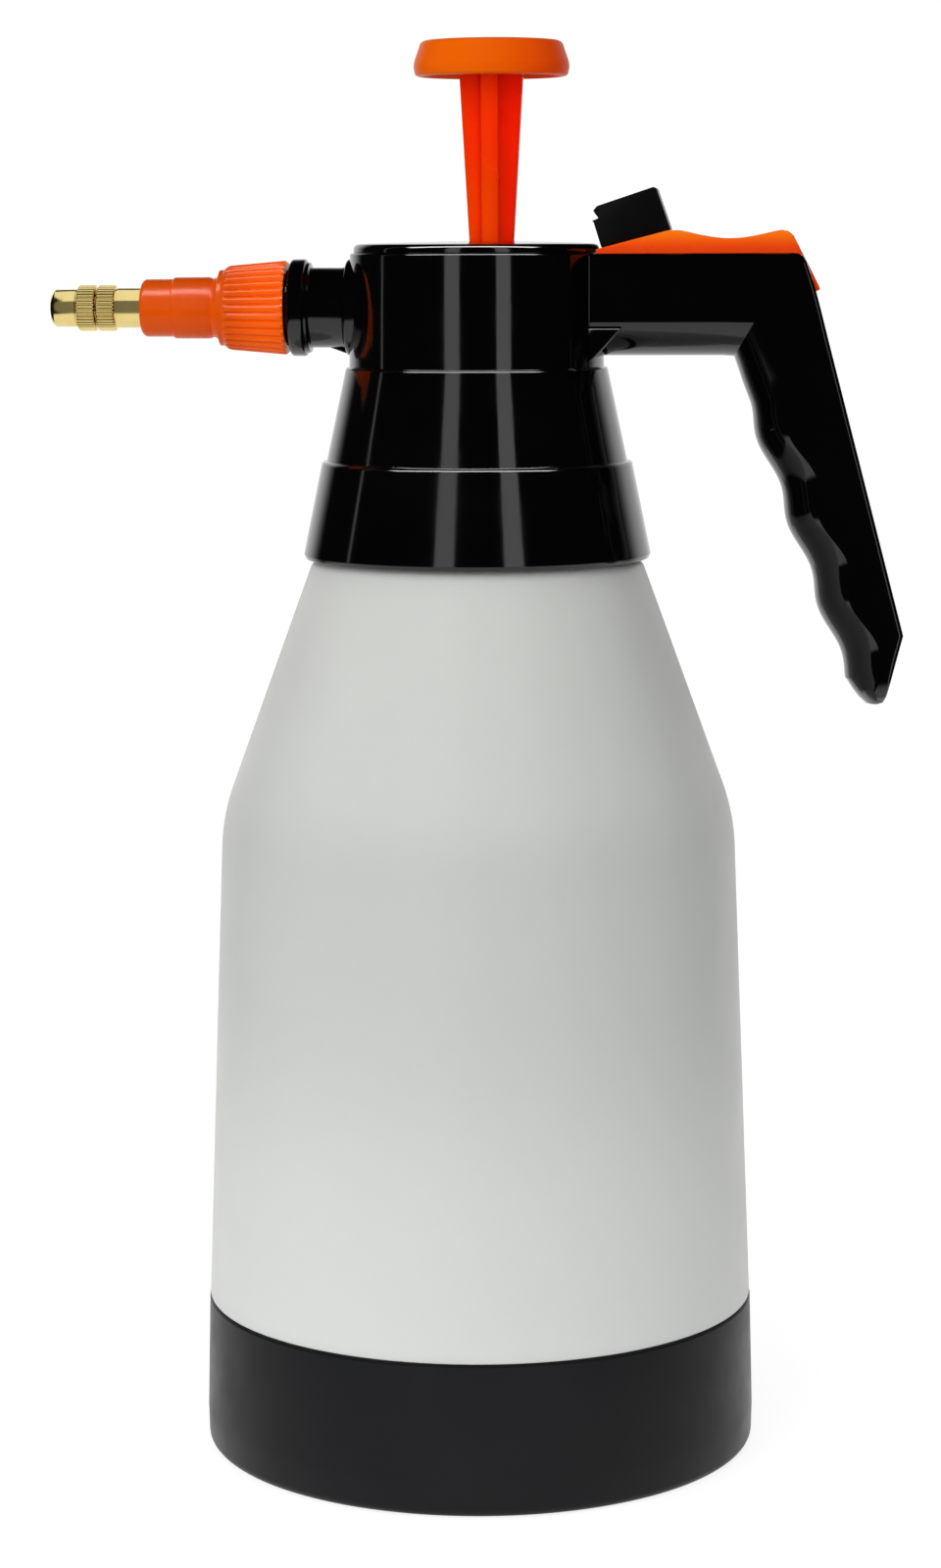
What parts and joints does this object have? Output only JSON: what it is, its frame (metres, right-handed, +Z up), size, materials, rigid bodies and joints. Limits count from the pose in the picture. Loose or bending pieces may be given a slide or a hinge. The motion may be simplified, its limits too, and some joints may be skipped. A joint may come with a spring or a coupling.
{
  "type": "pump sprayer",
  "caption": "Hand pump pressure sprayer: a translucent tank in a base cup, a screw-on head with a pump knob, a curved grip with a thumb trigger, and an adjustable nozzle.",
  "frame": {"origin": "centre of the tank's axis at the underside of the base cup", "axes": "+Z up along the tank's axis, +X towards the handle, -X along the nozzle, +Y to the far side"},
  "size_m": [0.1909, 0.126, 0.318],
  "materials": {
    "milky_tank": "milky translucent polyethylene with a fine grain",
    "dark_base": "satin dark grey",
    "gloss_black": "polished black",
    "satin_black": "satin black",
    "orange_plastic": "semi-gloss orange red",
    "nozzle_orange": "semi-gloss orange",
    "brass": "turned brass with knurled rings",
    "black_rubber": "matte rubber",
    "clear_tube": "translucent polyethylene tube",
    "white_acetal": "smooth white moulding",
    "stainless_steel": "drawn stainless wire"
  },
  "bodies": {
    "tank": {"tank": "milky_tank", "base_cup": "dark_base"},
    "neck_seal": {"neck_gasket": "black_rubber"},
    "head": {"head_housing": "gloss_black", "top_cap": "gloss_black", "pump_barrel": "white_acetal", "rod_bush": "gloss_black", "barrel_o_ring": "black_rubber", "check_valve": "black_rubber", "dip_tube": "clear_tube", "dip_tube_strainer": "white_acetal", "feed_tube": "clear_tube", "valve_body": "white_acetal", "valve_gland": "brass", "valve_seal": "black_rubber", "valve_spring": "stainless_steel", "outlet_spout": "gloss_black", "handle": "gloss_black", "trigger_pivot_pin": "stainless_steel"},
    "piston": {"piston": "white_acetal", "piston_seal": "black_rubber"},
    "plunger": {"pump_rod": "orange_plastic", "pump_knob": "orange_plastic"},
    "trigger": {"trigger_lever": "orange_plastic"},
    "lock": {"lock_slider": "satin_black"},
    "valve_pin": {"valve_pin": "stainless_steel"},
    "outlet_seal": {"outlet_washer": "black_rubber"},
    "nozzle": {"nozzle_nut": "nozzle_orange", "nozzle_body": "brass", "swirl_core": "white_acetal"},
    "cap_seal": {"nozzle_o_ring": "black_rubber"},
    "spray_cap": {"nozzle_cap": "brass"}
  },
  "joints": [
    {"name": "head_lift", "type": "slide", "parent": "tank", "child": "neck_seal", "axis": [0, 0, 1], "range_m": [0, 0.012]},
    {"name": "head_turn", "type": "hinge", "parent": "neck_seal", "child": "head", "pos_m": [0, 0, 0.2275], "axis": [0, 0, 1], "range_deg": [0, 1085]},
    {"name": "pump_stroke", "type": "slide", "parent": "head", "child": "piston", "axis": [0, 0, 1], "range_m": [-0.035, 0]},
    {"name": "knob_turn", "type": "hinge", "parent": "piston", "child": "plunger", "pos_m": [0.0035, 0, 0.24], "axis": [0, 0, 1], "continuous": true},
    {"name": "valve_stroke", "type": "slide", "parent": "head", "child": "valve_pin", "axis": [0, 0, 1], "range_m": [-0.00178, 0], "stiffness_N_per_m": 1500, "springref_m": 0.001, "deforming": ["valve_spring"]},
    {"name": "trigger_press", "type": "hinge", "parent": "head", "child": "trigger", "pos_m": [0.0325, 0, 0.2645], "axis": [0, 1, 0], "range_deg": [0, 6.01]},
    {"name": "lock_slide", "type": "slide", "parent": "trigger", "child": "lock", "axis": [0.9686, 0, 0.2487], "range_m": [0, 0.006]},
    {"name": "nut_travel", "type": "slide", "parent": "head", "child": "outlet_seal", "axis": [-1, 0, 0], "range_m": [0, 0.0075]},
    {"name": "nut_turn", "type": "hinge", "parent": "outlet_seal", "child": "nozzle", "pos_m": [-0.06, 0, 0.2593], "axis": [-1, 0, 0], "range_deg": [0, 1085]},
    {"name": "cap_travel", "type": "slide", "parent": "nozzle", "child": "cap_seal", "axis": [-1, 0, 0], "range_m": [0, 0.0016]},
    {"name": "cap_turn", "type": "hinge", "parent": "cap_seal", "child": "spray_cap", "pos_m": [-0.088, 0, 0.2593], "axis": [-1, 0, 0], "range_deg": [0, 725]}
  ],
  "couplings": [
    {"joint": "head_turn", "follows": "head_lift", "rad_per_m": 1570.8},
    {"joint": "nut_turn", "follows": "nut_travel", "rad_per_m": 2513.3},
    {"joint": "cap_turn", "follows": "cap_travel", "rad_per_m": 7854},
    {"joint": "trigger_press", "follows": "valve_stroke", "rad_per_m": -58.824}
  ]
}
